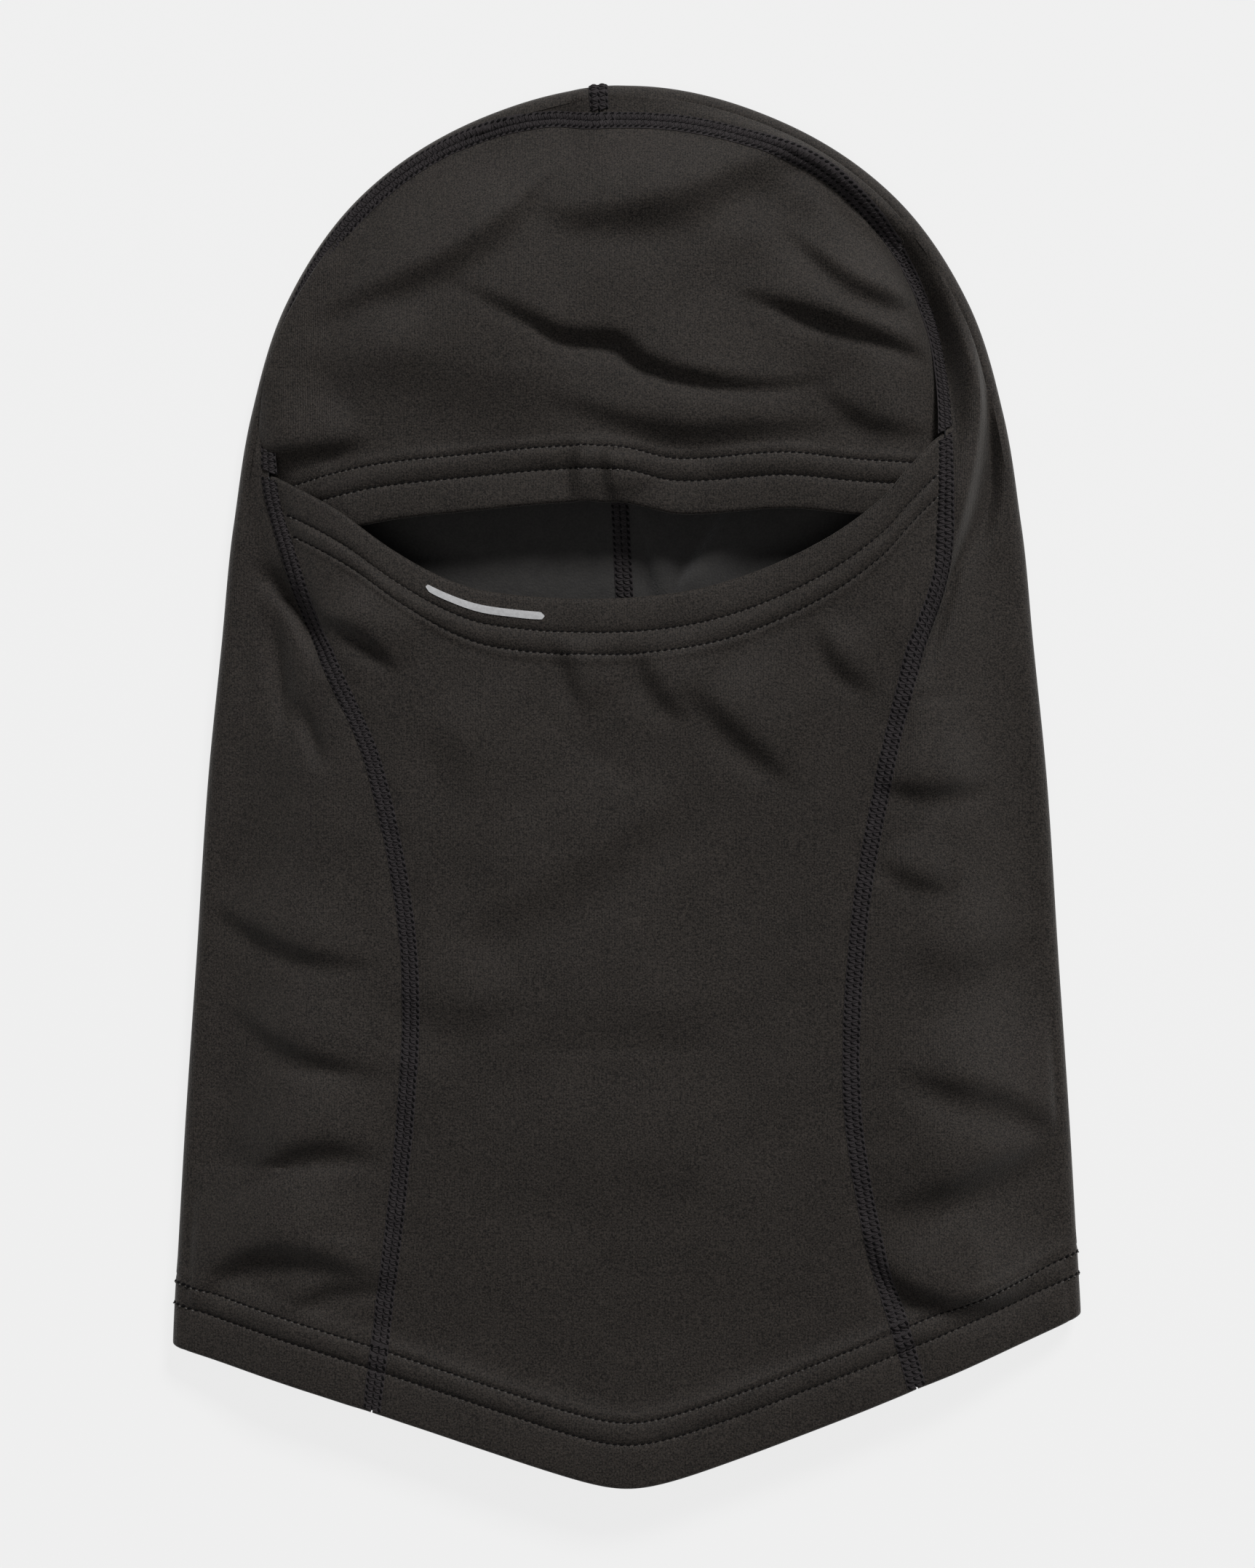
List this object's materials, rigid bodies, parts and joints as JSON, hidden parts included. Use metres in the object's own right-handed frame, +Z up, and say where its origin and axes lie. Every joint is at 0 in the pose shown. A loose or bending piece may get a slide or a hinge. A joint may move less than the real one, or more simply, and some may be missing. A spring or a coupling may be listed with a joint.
{
  "type": "balaclava",
  "caption": "Ski balaclava of brushed stretch jersey, lying flat, with one eye slit, a lapped face panel, flatlock seams and coverstitched hems.",
  "frame": {"origin": "on the surface that the back of the balaclava lies on, under the middle of its box", "axes": "+X towards the wearer's left, +Y from the neck to the crown, +Z up from the surface, out of the front"},
  "size_m": [0.2673, 0.4113, 0.0188],
  "materials": {
    "jersey": "near-black brushed stretch jersey, smooth face out, with a soft satin sheen",
    "thread": "black textured polyester sewing thread",
    "label": "woven satin label, no text",
    "print": "pale heat-transfer print, a plain bar"
  },
  "bodies": {
    "root": {"brow_hem_inner_needle_thread": "thread", "brow_hem_looper_thread": "thread", "brow_hem_outer_needle_thread": "thread", "brow_panel": "jersey", "care_label": "label", "centre_back_seam_cover_thread": "thread", "centre_back_seam_looper_thread": "thread", "crown_seam_cover_thread": "thread", "crown_seam_looper_thread": "thread", "face_hem_inner_needle_thread": "thread", "face_hem_looper_thread": "thread", "face_hem_outer_needle_thread": "thread", "face_panel": "jersey", "left_face_seam_cover_thread": "thread", "left_face_seam_looper_thread": "thread", "left_hood_panel": "jersey", "neck_hem_looper_thread": "thread", "neck_hem_lower_needle_thread": "thread", "neck_hem_upper_needle_thread": "thread", "printed_mark": "print", "right_face_seam_cover_thread": "thread", "right_face_seam_looper_thread": "thread", "right_hood_panel": "jersey"}
  },
  "joints": []
}
